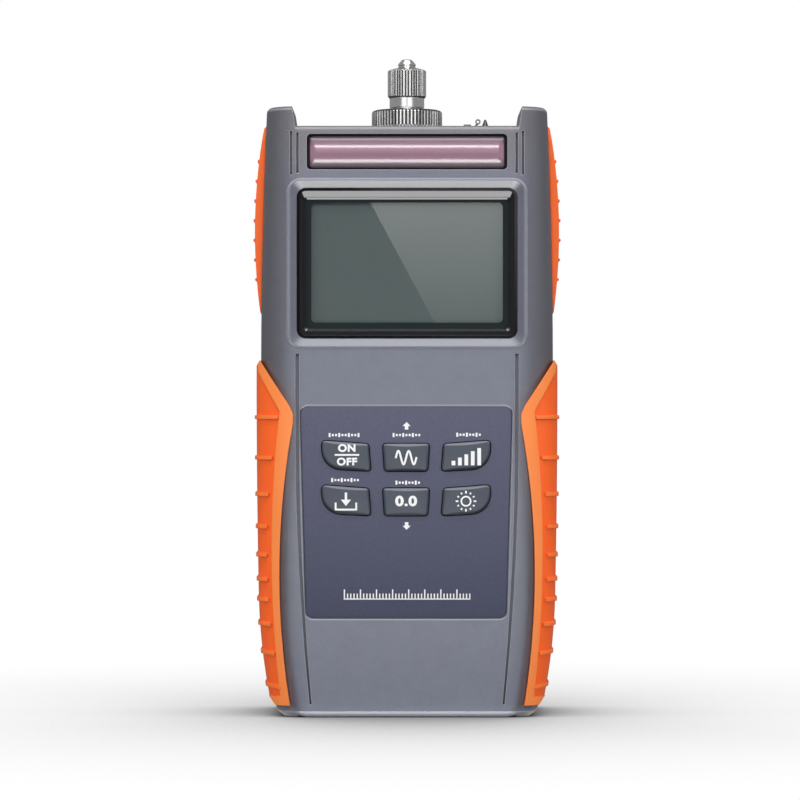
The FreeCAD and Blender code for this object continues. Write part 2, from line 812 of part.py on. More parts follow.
def usb_socket():
    shell = box(-26.5, -17.5, BOARD_BACK, -8.1, 175.2, NOTCH_Z - 0.2)
    mouth = box(-25.8, -18.2, -11.3, -8.8, 177.0, 190)
    blade = box(-24.5, -19.5, -10.4, -9.7, 177.0, 183.0)
    return shell.cut(mouth).fuse(blade)


def adapter_barrel():
    """Screw-on fibre receptacle: spigot, flange with its groove, barrel and ferrule bore."""
    groove_top = SEAT_Z + ORING_THICK
    flange_top = SEAT_Z + 1.2
    body = turned([
        (PORT_RADIUS, 185.2), (SPIGOT_RADIUS, 185.2), (SPIGOT_RADIUS, SEAT_Z),
        (ORING_IN, SEAT_Z), (ORING_IN, groove_top), (ORING_OUT, groove_top),
        (ORING_OUT, SEAT_Z), (SEAT_RADIUS, SEAT_Z), (SEAT_RADIUS, flange_top),
        (SPIGOT_RADIUS, flange_top), (SPIGOT_RADIUS, 190.1), (BARREL_RADIUS, 190.1),
        (BARREL_RADIUS, BARREL_TOP - 0.4), (3.6, BARREL_TOP), (2.9, BARREL_TOP),
        (2.9, 196.8), (PORT_RADIUS, 196.8),
    ])
    return body.cut(box(-1.1, 1.1, -6, 0, 197.8, 205))


def adapter_oring():
    low = SEAT_Z + 0.03
    high = SEAT_Z + ORING_THICK
    return turned([(ORING_IN, low), (ORING_OUT, low), (ORING_OUT, high), (ORING_IN, high)])


def toothed(radius, depth, teeth, z0, z1):
    """Straight knurl: a prism whose outline is a ring of flat-topped teeth."""
    outline = ((-0.17, radius), (0.17, radius), (0.36, radius - depth), (0.64, radius - depth))
    corners = []
    step = 2 * math.pi / teeth
    for i in range(teeth):
        for share, reach in outline:
            angle = (i + share) * step
            corners.append(V(reach * math.cos(angle), reach * math.sin(angle), z0))
    return Part.Face(Part.makePolygon(corners + corners[:1])).extrude(V(0, 0, z1 - z0))


def adapter_ring():
    """Knurled union nut that holds the receptacle down on the housing."""
    seat = SEAT_Z + 1.25
    bore = SPIGOT_RADIUS + THREAD_GAP
    shape = turned([
        (WELL_RADIUS, RING_LOW), (RING_RADIUS - 0.4, RING_LOW), (RING_RADIUS, RING_LOW + 0.4),
        (RING_RADIUS, RING_TOP - 0.8), (RING_RADIUS - 0.4, RING_TOP - 0.3),
        (RING_RADIUS - 1.2, RING_TOP), (bore, RING_TOP), (bore, seat), (WELL_RADIUS, seat),
    ])
    return shape.common(toothed(RING_RADIUS, 0.5, RING_TEETH, RING_LOW - 1, RING_TOP + 1))


def dust_cap():
    """Screw cap: plain skirt, knurled head and a conical crown."""
    head = turned([
        (CAP_BORE, 194.0), (5.5, 194.2), (CAP_RADIUS, 195.0), (CAP_RADIUS, CAP_TOP - 1.1),
        (CAP_RADIUS - 0.5, CAP_TOP - 0.7), (3.0, CAP_TOP), (RIVET_RADIUS, CAP_TOP),
        (RIVET_RADIUS, LINER_TOP), (CAP_BORE, LINER_TOP),
    ])
    head = head.common(toothed(CAP_RADIUS, 0.4, CAP_TEETH, CAP_LOW, CAP_TOP + 1))
    skirt = turned([
        (CAP_BORE, CAP_LOW), (5.3, CAP_LOW), (5.5, CAP_LOW + 0.2), (5.5, 194.5), (CAP_BORE, 194.5),
    ])
    return joined(head, [skirt])


def cap_liner():
    return upright(CAP_BORE, LINER_LOW, LINER_TOP)


def cap_rivet():
    """Rivet through the crown, with a knob that holds the swivelling eye."""
    low = TAB_TOP + 0.1
    return turned([
        (0, LINER_TOP), (RIVET_RADIUS, LINER_TOP), (RIVET_RADIUS, low), (2.85, low),
        (2.75, low + 0.5), (1.9, RIVET_TOP - 0.4), (1.4, RIVET_TOP), (0, RIVET_TOP),
    ])


def cap_tab():
    """Swivelling eye on the cap, where its retaining chain ends."""
    low = CAP_TOP + 0.1
    plate = union([
        upright(2.7, low, TAB_TOP),
        box(-1.3, 1.3, 0, TAB_REACH, low, TAB_TOP),
        upright(1.7, low, TAB_TOP, 0, TAB_REACH),
    ])
    rivet_hole = upright(RIVET_RADIUS + 0.05, low - 1, TAB_TOP + 1)
    return plate.cut([rivet_hole, upright(0.9, low - 1, TAB_TOP + 1, 0, TAB_REACH)])


def tether_anchor():
    """Small lug on the case top with an upright eye, the other end of the chain."""
    top = NOTCH_Z + LUG_THICK
    strip = box(LUG_X, ANCHOR_X, -1.7, 1.7, NOTCH_Z, top)
    pad = upright(1.7, NOTCH_Z, top, ANCHOR_X)
    step = box(LUG_X, LUG_X + 2.3, -1.2, 1.2, NOTCH_Z, NOTCH_Z + 1.85)
    front = V(EYE_X, -0.4, NOTCH_Z + 2.75)
    back = V(EYE_X, 0.4, NOTCH_Z + 2.75)
    stem = rod(0.35, V(EYE_X - 1.2, 0, NOTCH_Z + 0.3), V(EYE_X - 0.2, 0, NOTCH_Z + 2.2))
    lug = union([strip, pad, step, rod(0.85, front, back), stem])
    return lug.cut([rod(0.4, front, back), upright(0.8, 180, 190, ANCHOR_X)])


def anchor_screw():
    top = NOTCH_Z + LUG_THICK
    return turned([
        (0, NOTCH_Z), (0.8, NOTCH_Z), (0.8, top), (1.25, top),
        (1.1, top + 0.6), (0.3, top + 2.8), (0, top + 2.8),
    ], ANCHOR_X)


def cell(x, upside):
    """AA cell; upside is 1 with the button up, -1 with it down."""
    foot = BAY_LOW + SPRING_ROOM if upside > 0 else BAY_HIGH - SPRING_ROOM
    shoulder = CELL_RADIUS - 0.5
    button_top = CELL_LENGTH + 1.0
    profile = [
        (0, 0), (shoulder, 0), (CELL_RADIUS, 0.5), (CELL_RADIUS, CELL_LENGTH - 0.5),
        (shoulder, CELL_LENGTH), (BUTTON_RADIUS, CELL_LENGTH), (BUTTON_RADIUS, button_top),
        (0, button_top),
    ]
    return turned([(r, foot + upside * z) for r, z in profile], x, CELL_Y)


def spring(x, wide_z, narrow_z):
    """Conical coil spring between a contact plate and the flat end of a cell."""
    rise = math.copysign(abs(narrow_z - wide_z) - 2 * SPRING_WIRE, narrow_z - wide_z)
    start = wide_z + math.copysign(SPRING_WIRE, rise)
    steps = 12 * SPRING_TURNS
    sections = []
    for i in range(steps + 1):
        share = i / steps
        turn = 2 * math.pi * SPRING_TURNS * share
        radius = SPRING_WIDE + (SPRING_NARROW - SPRING_WIDE) * share
        outward = V(math.cos(turn), math.sin(turn), 0)
        centre = V(x, CELL_Y, start + rise * share) + outward * radius
        ring = []
        for k in range(6):
            angle = math.pi * k / 3
            lift = V(0, 0, SPRING_WIRE * math.sin(angle))
            ring.append(centre + outward * (SPRING_WIRE * math.cos(angle)) + lift)
        sections.append(Part.makePolygon(ring + ring[:1]))
    return Part.makeLoft(sections, True, True)


def battery_springs():
    foot = BAY_LOW + CONTACT_THICK
    low = [spring(x, foot, BAY_LOW + SPRING_ROOM) for x in (-CELL_PITCH, CELL_PITCH)]
    return low + [spring(0, BAY_HIGH - CONTACT_THICK, BAY_HIGH - SPRING_ROOM)]


def battery_contacts():
    """End plates of the bay, each with a boss where it meets a cell's button."""
    low = BAY_LOW + CONTACT_THICK
    high = BAY_HIGH - CONTACT_THICK
    button = BAY_LOW + SPRING_ROOM + CELL_LENGTH + 1.0
    plates = []
    for x in (-CELL_PITCH, 0, CELL_PITCH):
        plates.append(box(x - 6, x + 6, 4.2, 16.8, BAY_LOW, low))
        plates.append(box(x - 6, x + 6, 4.2, 16.8, high, BAY_HIGH))
    for x in (-CELL_PITCH, CELL_PITCH):
        plates.append(upright(2.4, button, high + 0.2, x, CELL_Y))
    plates.append(upright(2.4, low - 0.2, BAY_LOW + BAY_HIGH - button, 0, CELL_Y))
    return plates


def battery_door():
    """Door that hangs from two stub pins and closes flush with the back."""
    plate = box(-DOOR_HALF, DOOR_HALF, 19.9, 21.9, DOOR_LOW, DOOR_AXIS_Z)
    lower_corners = [
        edge
        for edge in plate.Edges
        if edge.BoundBox.YLength > 1.5 and edge.CenterOfMass.z < DOOR_LOW + 1
    ]
    barrel = crosswise(1.3, DOOR_HALF, DOOR_AXIS_Y, DOOR_AXIS_Z)
    pins = crosswise(PIN_RADIUS, DOOR_PIN_END, DOOR_AXIS_Y, DOOR_AXIS_Z)
    door = union([plate.makeFillet(2.0, lower_corners), barrel, pins])
    grooves = []
    for i in range(5):
        z = 20 + 2.4 * i
        grooves.append(box(-9, 9, 21.4, 25, z, z + 1.0))
    return door.cut(grooves)


def tilt_stand():
    """Fold-out bail, hinged at its top and hanging flat in its recess."""
    plate = box(-STAND_HALF, STAND_HALF, 19.2, 21.8, STAND_LOW, STAND_AXIS_Z)
    lower_corners = [
        edge
        for edge in plate.Edges
        if edge.BoundBox.YLength > 2 and edge.CenterOfMass.z < STAND_LOW + 1
    ]
    barrel = crosswise(1.6, STAND_HALF, STAND_AXIS_Y, STAND_AXIS_Z)
    stand = union([plate.makeFillet(4.0, lower_corners), barrel])
    window = prism("front", rectangle(15.5, 122.0, 156.0), 3.0, 10, 30)
    bore = crosswise(PIN_RADIUS + 0.05, 30, STAND_AXIS_Y, STAND_AXIS_Z)
    return stand.cut([window, bore])


def stand_pin():
    return crosswise(PIN_RADIUS, 26, STAND_AXIS_Y, STAND_AXIS_Z)


KEY_NAMES = {
    (-1, 0): "key_power",
    (0, 0): "key_wavelength",
    (1, 0): "key_units",
    (-1, 1): "key_recall",
    (0, 1): "key_reference",
    (1, 1): "key_backlight",
}


def export(name, shape):
    if isinstance(shape, list):
        shape = Part.makeCompound(shape)
    shape.exportStep(f"parts/{name}.step")


block = case_block()
grip = left_grip(block)
pad = left_pad(block)
export("front_shell", front_shell(block))
export("rear_shell", rear_shell(block))
export("case_seal", seal())
export("left_grip", grip)
export("right_grip", mirror(grip))
export("left_side_pad", pad)
export("right_side_pad", mirror(pad))
for (column, row), name in KEY_NAMES.items():
    export(name, key_cap(column, row))
export("battery_left", cell(-CELL_PITCH, 1))
export("battery_middle", cell(0, -1))
export("battery_right", cell(CELL_PITCH, 1))
for make in (
    window_bezel, window_lens, lcd_glass, lcd_backlight, lcd_zebra_strips,
    keypad_overlay, keypad_mat, key_switches, top_strip, top_strip_gasket,
    main_board, board_screws, case_screws, board_chips, buzzer,
    detector_housing, photodiode, detector_board, detector_flex, usb_socket,
    adapter_barrel, adapter_oring, adapter_ring, dust_cap, cap_liner,
    cap_rivet, cap_tab, tether_anchor, anchor_screw, battery_springs,
    battery_contacts, battery_door, tilt_stand, stand_pin,
):
    export(make.__name__, make())
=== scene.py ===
import math

import bpy
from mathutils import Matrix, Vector

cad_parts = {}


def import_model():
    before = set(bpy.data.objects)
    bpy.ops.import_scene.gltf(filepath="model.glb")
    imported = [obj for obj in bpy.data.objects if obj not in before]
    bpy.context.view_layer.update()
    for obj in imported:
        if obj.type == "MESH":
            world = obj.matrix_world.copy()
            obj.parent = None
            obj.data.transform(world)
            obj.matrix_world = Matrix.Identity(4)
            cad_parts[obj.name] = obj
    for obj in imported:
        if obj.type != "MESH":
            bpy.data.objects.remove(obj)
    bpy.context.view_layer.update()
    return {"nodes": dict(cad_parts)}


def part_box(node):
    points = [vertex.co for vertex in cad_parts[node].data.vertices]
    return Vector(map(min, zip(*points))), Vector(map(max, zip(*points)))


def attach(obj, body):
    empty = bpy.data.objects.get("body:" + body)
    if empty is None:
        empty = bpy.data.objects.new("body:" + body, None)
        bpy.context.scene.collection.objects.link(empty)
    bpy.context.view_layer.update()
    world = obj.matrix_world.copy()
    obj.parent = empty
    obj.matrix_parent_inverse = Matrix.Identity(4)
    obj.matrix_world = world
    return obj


# Looks of a handheld optical power meter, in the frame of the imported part: +Z up towards
# the fibre connector, -Y out of the display. Metres, unless a name or comment says
# millimetres; colours are linear RGB.
MM = 0.001

# Camera, level and straight ahead of the front face
FRONT_Y = -22 * MM
CAMERA_DISTANCE = 1.15
CAMERA_X = -2.2 * MM
CAMERA_Z = 98.8 * MM
FIELD_WIDTH = 248.8 * MM
SENSOR_MM = 36.0

# Keypad: middles of the six keys, and the faces that carry ink
KEYPAD_X = -0.3 * MM
TOP_ROW_Z = 81.2 * MM
COLUMN_PITCH = 18.7 * MM
ROW_PITCH = 13.85 * MM
KEY_DOME_RADIUS = 60 * MM
KEY_FACE_Y = -23.19 * MM
KEY_INK_LIFT = 0.03 * MM
FILM_FACE_Y = -22.06 * MM
FILM_INK_LIFT = 0.02 * MM

# Radii by which the shading, not the mesh, rounds the edges
CASE_ROUND = 0.35 * MM
RUBBER_ROUND = 0.4 * MM
FINE_ROUND = 0.15 * MM
KEY_ROUND = 0.6 * MM
BAR_ROUND = 1.2 * MM

# Colour sockets of Blender's Mix node
MIX_A, MIX_B, MIX_RESULT = 6, 7, 2

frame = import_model()
scene = bpy.context.scene


class Shader:
    """One material, with helpers that add and link its nodes."""

    def __init__(self, name):
        self.material = bpy.data.materials.new(name)
        self.material.use_nodes = True
        self.nodes = self.material.node_tree.nodes
        self.links = self.material.node_tree.links
        self.surface = self.nodes["Principled BSDF"]

    def add(self, kind, **settings):
        node = self.nodes.new(kind)
        for name, value in settings.items():
            setattr(node, name, value)
        return node

    def plug(self, value, socket):
        """Links a socket, or writes a constant, to an input."""
        if isinstance(value, bpy.types.NodeSocket):
            self.links.new(value, socket)
        else:
            socket.default_value = value

    def plug_colour(self, value, socket):
        """As plug, for a colour input; a constant has three numbers."""
        if not isinstance(value, bpy.types.NodeSocket):
            value = (*value, 1.0)
        self.plug(value, socket)

    def output(self, shader):
        """Makes a shader's socket the surface, in place of the principled one."""
        self.plug(shader, self.nodes["Material Output"].inputs["Surface"])
        return self.material

    def math(self, operation, *values):
        node = self.add("ShaderNodeMath", operation=operation)
        for value, socket in zip(values, node.inputs):
            self.plug(value, socket)
        return node.outputs["Value"]

    def product(self, first, *others):
        for other in others:
            first = self.math("MULTIPLY", first, other)
        return first

    def between(self, value, low, high):
        """1 between two limits, else 0."""
        return self.product(self.math("GREATER_THAN", value, low), self.math("LESS_THAN", value, high))

    def ramp(self, value, low, high):
        """0 below low, 1 above high, smooth between; low may be the greater one."""
        node = self.add("ShaderNodeMapRange", interpolation_type="SMOOTHSTEP")
        self.plug(value, node.inputs["Value"])
        self.plug(low, node.inputs["From Min"])
        self.plug(high, node.inputs["From Max"])
        return node.outputs["Result"]

    def vector(self, operation, *values):
        node = self.add("ShaderNodeVectorMath", operation=operation)
        for value, socket in zip(values, node.inputs):
            self.plug(value, socket)
        return node

    def position(self):
        """Place on the object, in its own axes."""
        return self.add("ShaderNodeTexCoord").outputs["Object"]

    def facing(self):
        """Direction that the surface faces, in the object's own axes."""
        return self.add("ShaderNodeTexCoord").outputs["Normal"]

    def split(self, vector):
        node = self.add("ShaderNodeSeparateXYZ")
        self.plug(vector, node.inputs["Vector"])
        return node.outputs

    def noise(self, scale, detail=2.0, roughness=0.5):
        node = self.add("ShaderNodeTexNoise")
        self.plug(self.position(), node.inputs["Vector"])
        self.plug(scale, node.inputs["Scale"])
        self.plug(detail, node.inputs["Detail"])
        self.plug(roughness, node.inputs["Roughness"])
        return node.outputs["Fac"]

    def mix(self, factor, one, two):
        """Colour one where the factor is 0, two where it is 1."""
        node = self.add("ShaderNodeMix", data_type="RGBA")
        self.plug(factor, node.inputs["Factor"])
        self.plug_colour(one, node.inputs[MIX_A])
        self.plug_colour(two, node.inputs[MIX_B])
        return node.outputs[MIX_RESULT]

    def cavity_shade(self, reach):
        """Mask for painted shade, from ambient occlusion: 0 deep in a groove or gap, 1 on open faces."""
        node = self.add("ShaderNodeAmbientOcclusion", samples=8)
        self.plug(reach, node.inputs["Distance"])
        shut, clear = 0.2, 0.6
        return self.ramp(node.outputs["AO"], shut, clear)

    def rounded(self, radius):
        """Surface normal as if edges were rounded."""
        bevel = self.add("ShaderNodeBevel", samples=6)
        self.plug(radius, bevel.inputs["Radius"])
        return bevel.outputs["Normal"]

    def edges(self, reach):
        """Strength of a painted highlight: above 0 where a crease lies within reach, else 0."""
        straight = self.add("ShaderNodeNewGeometry").outputs["True Normal"]
        likeness = self.vector("DOT_PRODUCT", self.rounded(reach), straight).outputs["Value"]
        bend = self.math("SUBTRACT", 1.0, likeness)
        slight_bend, full_bend, full_highlight = 0.006, 0.022, 0.8
        return self.product(self.ramp(bend, slight_bend, full_bend), full_highlight)

    def outward(self, normal, share):
        """Draws the normal of an upright face towards straight out from the Z axis."""
        x, y, _ = self.split(self.position())
        level = self.add("ShaderNodeCombineXYZ")
        self.plug(x, level.inputs["X"])
        self.plug(y, level.inputs["Y"])
        spoke = self.add("ShaderNodeVectorTransform", vector_type="NORMAL",
                         convert_from="OBJECT", convert_to="WORLD")
        self.plug(self.vector("NORMALIZE", level.outputs[0]).outputs[0], spoke.inputs[0])
        steep = self.math("ABSOLUTE", self.split(self.facing())[2])
        pull = self.vector("SCALE", spoke.outputs[0])
        self.plug(self.product(self.math("SUBTRACT", 1.0, steep), share), pull.inputs["Scale"])
        both = self.vector("ADD", normal, pull.outputs[0])
        return self.vector("NORMALIZE", both.outputs[0]).outputs[0]

    def finish(self, colour, roughness, metallic=0.0, shine=0.5, bump=None, round_edges=0.0,
               coat=0.0, coat_roughness=0.04, normal=None):
        """Sets the principled surface; bump is (height socket, distance)."""
        inputs = self.surface.inputs
        self.plug_colour(colour, inputs["Base Color"])
        self.plug(roughness, inputs["Roughness"])
        self.plug(metallic, inputs["Metallic"])
        self.plug(shine, inputs["Specular IOR Level"])
        self.plug(coat, inputs["Coat Weight"])
        self.plug(coat_roughness, inputs["Coat Roughness"])
        if round_edges:
            normal = self.rounded(round_edges)
        if bump:
            height, distance = bump
            relief = self.add("ShaderNodeBump")
            self.plug(distance, relief.inputs["Distance"])
            self.plug(height, relief.inputs["Height"])
            if normal:
                self.plug(normal, relief.inputs["Normal"])
            normal = relief.outputs["Normal"]
        if normal:
            self.plug(normal, inputs["Normal"])
        return self.material


def case_plastic():
    """Grained grey plastic, with painted shade on its flanks, in grooves and gaps and along its foot, and
    painted highlights on its bevels and creases.
    """
    s = Shader("case_plastic")
    x, y, z = s.split(s.position())
    faces_x, _, faces_z = s.split(s.facing())
    off_middle = s.math("ABSOLUTE", x)

    fine = s.noise(2600, detail=3, roughness=0.6)
    broad = s.noise(300)
    grain = s.math("ADD", s.product(fine, 0.7), s.product(broad, 0.3))
    front = s.mix(grain, (0.125, 0.134, 0.174), (0.201, 0.215, 0.274))
    top = s.mix(grain, (0.138, 0.134, 0.15), (0.222, 0.215, 0.237))
    shaded_flank = s.mix(grain, (0.071, 0.072, 0.086), (0.117, 0.119, 0.138))
    front_end, top_start = 166 * MM, 180 * MM
    colour = s.mix(s.ramp(z, front_end, top_start), front, top)
    # painted shade: the flanks are darker, as where they turn away from the light
    front_half, flank_half = 31 * MM, 43 * MM
    colour = s.mix(s.ramp(off_middle, front_half, flank_half), colour, shaded_flank)

    # painted shade: faces that look sideways on the front, such as the walls of grooves, are a little
    # darker
    front_wall = s.math("LESS_THAN", off_middle, 36 * MM)
    sideways_shade = s.product(front_wall, s.ramp(s.math("ABSOLUTE", faces_x), 0.15, 0.3))
    colour = s.mix(s.product(sideways_shade, 0.18), colour, (0.02, 0.02, 0.03))

    # painted highlights: bevels that face up or down are paler; the one at the foot is so only near its
    # top
    above_foot = s.ramp(z, 1.0 * MM, 1.4 * MM)
    for sign, share, painted_light in ((1, 0.34, (0.5, 0.5, 0.53)), (-1, 0.9, (0.64, 0.63, 0.66))):
        tilt = s.product(faces_z, sign)
        bevel = s.product(s.ramp(tilt, 0.25, 0.45), s.ramp(tilt, 0.8, 0.6), above_foot)
        colour = s.mix(s.product(bevel, share), colour, painted_light)
    # painted shadow: a dark line along the very foot, where the case meets the floor
    foot_shadow_low, foot_shadow_high = 0.15 * MM, 0.45 * MM
    colour = s.mix(s.ramp(z, foot_shadow_low, foot_shadow_high), (0.01, 0.01, 0.012), colour)

    # painted highlights on the creases of the front panel, painted shade in grooves and gaps
    panel_half, panel_back = 37.7 * MM, -19 * MM
    panel = s.product(s.math("LESS_THAN", off_middle, panel_half), s.math("LESS_THAN", y, panel_back))
    open_face = s.cavity_shade(1.3 * MM)
    edge_highlight = s.product(s.edges(CASE_ROUND), panel, open_face)
    colour = s.mix(edge_highlight, colour, (0.42, 0.42, 0.47))
    colour = s.mix(open_face, (0.02, 0.021, 0.03), colour)
    return s.finish(colour, 0.42, bump=(fine, 0.05 * MM), round_edges=CASE_ROUND)


def grip_rubber():
    """Orange elastomer, with painted light that makes the rim and the ribs paler than the sunk field."""
    s = Shader("orange_rubber")
    x, _, z = s.split(s.position())
    across = s.math("ABSOLUTE", x)

    def beyond_arc(centre_x, centre_z, radius):
        """1 outside a circle given in millimetres, else 0."""
        dx = s.math("SUBTRACT", across, centre_x * MM)
        dz = s.math("SUBTRACT", z, centre_z * MM)
        square = s.math("ADD", s.product(dx, dx), s.product(dz, dz))
        return s.math("GREATER_THAN", square, (radius * MM) ** 2)

    # the field lies outside the rim's arc, below its slanted top and above its foot
    rim_arc = (-332.3, 51.6, 374.5)
    slope, start = 1.794, 24.16 * MM
    slant = s.math("ADD", s.product(across, slope), start)
    outermost = s.math("GREATER_THAN", across, 46.6 * MM)
    below_rim = s.math("MAXIMUM", s.math("LESS_THAN", z, slant), outermost)
    above_foot = s.math("GREATER_THAN", z, 6.4 * MM)
    field = s.product(beyond_arc(*rim_arc), s.product(below_rim, above_foot))

    # ribs from the top down, in millimetres: spaced closest at one of them, leaning below it
    rib_arc = (-181.4, 53.2, 225.1)
    rib_count, closest, level = 10, 6, 93.4
    least_step, step_growth = 6.3, 1.27
    lean_step = math.radians(2.5)
    half_width, root_x = 0.62, 45.1
    ribs = 0.0
    for i in range(rib_count):
        if i:
            level -= least_step + step_growth * abs(i - closest)
        lean = math.tan(lean_step * max(0, i - closest))
        rise = s.product(s.math("SUBTRACT", across, root_x * MM), lean)
        offset = s.math("SUBTRACT", s.math("SUBTRACT", z, level * MM), rise)
        on_rib = s.math("LESS_THAN", s.math("ABSOLUTE", offset), half_width * MM)
        ribs = s.math("MAXIMUM", ribs, on_rib)
    ribs = s.product(ribs, beyond_arc(*rib_arc))

    # painted light: rim and ribs paler, as where they face the light, the field darker
    rib_share = 0.55
    painted_light = s.math("MAXIMUM", s.math("SUBTRACT", 1.0, field), s.product(ribs, rib_share))
    colour = s.mix(painted_light, (0.98, 0.137, 0.02), (0.98, 0.268, 0.066))
    return s.finish(colour, 0.42, shine=0.35, bump=(s.noise(1500), 0.02 * MM), round_edges=RUBBER_ROUND)


def pad_rubber():
    s = Shader("pad_rubber")
    colour = (0.94, 0.145, 0.022)
    return s.finish(colour, 0.42, shine=0.3, bump=(s.noise(1500), 0.02 * MM), round_edges=RUBBER_ROUND)


def overlay_film():
    """Blue-grey printed film, a little darker towards its foot, with painted shade at the keys."""
    s = Shader("keypad_film")
    foot_z, height = 31 * MM, 65.7 * MM
    z = s.split(s.position())[2]
    share = s.math("DIVIDE", s.math("SUBTRACT", z, foot_z), height)
    grain = s.noise(2200)
    low = s.mix(grain, (0.022, 0.026, 0.061), (0.043, 0.047, 0.091))
    high = s.mix(grain, (0.065, 0.068, 0.117), (0.104, 0.107, 0.166))
    colour = s.mix(s.cavity_shade(1.5 * MM), (0.02, 0.02, 0.03), s.mix(share, low, high))
    return s.finish(colour, 0.45, shine=0.35, round_edges=FINE_ROUND)


def key_plastic():
    """Dark plastic, with a painted highlight on the upper bevel of each key and painted shade in the gaps
    around it.
    """
    s = Shader("key_plastic")
    colour = s.mix(s.noise(2000), (0.042, 0.051, 0.072), (0.063, 0.075, 0.099))
    upper_bevel_highlight = s.ramp(s.split(s.facing())[2], 0.3, 0.6)
    colour = s.mix(s.product(upper_bevel_highlight, 0.6), colour, (0.26, 0.27, 0.3))
    colour = s.mix(s.cavity_shade(1.2 * MM), (0.008, 0.009, 0.011), colour)
    return s.finish(colour, 0.42, shine=0.4, bump=(s.noise(2400), 0.02 * MM), round_edges=KEY_ROUND)


def tinted_bar():
    """Deep-coloured clear plastic, with painted shade along its long edges."""
    s = Shader("tinted_bar")
    middle_z, lit_half, dark_half = 175.9 * MM, 1.5 * MM, 4.2 * MM
    off_middle = s.math("ABSOLUTE", s.math("SUBTRACT", s.split(s.position())[2], middle_z))
    colour = s.mix(s.ramp(off_middle, lit_half, dark_half), (0.31, 0.17, 0.235), (0.15, 0.095, 0.13))
    return s.finish(colour, 0.24, round_edges=BAR_ROUND, coat=0.9, coat_roughness=0.12)


def black_gloss():
    return Shader("black_gloss").finish((0.006, 0.006, 0.008), 0.07, round_edges=FINE_ROUND)


def clear_window():
    """Thin glossy plate: what is behind shows through, under a reflection."""
    s = Shader("clear_window")
    clear = s.add("ShaderNodeBsdfTransparent")
    s.plug_colour((0.97, 0.98, 0.98), clear.inputs["Color"])
    gloss = s.add("ShaderNodeBsdfGlossy")
    s.plug(0.0, gloss.inputs["Roughness"])
    edge = s.add("ShaderNodeFresnel")
    s.plug(2.0, edge.inputs["IOR"])
    front = s.math("SUBTRACT", 1.0, s.add("ShaderNodeNewGeometry").outputs["Backfacing"])
    mixed = s.add("ShaderNodeMixShader")
    s.plug(s.product(edge.outputs["Fac"], front), mixed.inputs[0])
    s.plug(clear.outputs[0], mixed.inputs[1])
    s.plug(gloss.outputs[0], mixed.inputs[2])
    return s.output(mixed.outputs[0])


def knurled_nickel():
    """Turned metal, with painted shade between the teeth of the ring's and the cap's knurls."""
    s = Shader("nickel")
    x, y, z = s.split(s.position())
    reach = s.math("SQRT", s.math("ADD", s.product(x, x), s.product(y, y)))
    ring_valleys = s.between(reach, 10.3 * MM, 11.0 * MM)
    cap_valleys = s.between(reach, 5.6 * MM, 5.95 * MM)
    knurled = s.between(z, 185.3 * MM, 202.9 * MM)
    valley_shade = s.product(s.math("ADD", ring_valleys, cap_valleys), knurled)
    # painted shade in the valleys of the knurls
    colour = s.mix(valley_shade, (0.84, 0.835, 0.83), (0.1, 0.1, 0.1))
    rough = s.math("ADD", s.product(s.noise(900, detail=3), 0.04), 0.2)
    normal = s.outward(s.add("ShaderNodeNewGeometry").outputs["Normal"], 0.6)
    return s.finish(colour, rough, metallic=1.0, normal=normal)


def plain(name, colour, roughness, metallic=0.0, grain=0.0, shine=0.5):
    """One colour all over; grain is the depth of its bump."""
    s = Shader(name)
    bump = (s.noise(1800), grain) if grain else None
    return s.finish(colour, roughness, metallic, shine, bump)


def circuit_board():
    """Green solder mask with slanted stripes of covered tracks."""
    s = Shader("solder_mask")
    pitch, track_width = 1.2 * MM, 0.25 * MM
    x, _, z = s.split(s.position())
    run = s.math("PINGPONG", s.math("ADD", x, z), pitch)
    track = s.math("LESS_THAN", run, track_width)
    return s.finish(s.mix(track, (0.01, 0.12, 0.05), (0.02, 0.2, 0.09)), 0.35)


def cell_sleeve():
    """Plain cell sleeve in two fields of colour."""
    s = Shader("cell_sleeve")
    upper_field = s.math("GREATER_THAN", s.split(s.position())[2], 58 * MM)
    return s.finish(s.mix(upper_field, (0.02, 0.03, 0.07), (0.55, 0.3, 0.08)), 0.3)


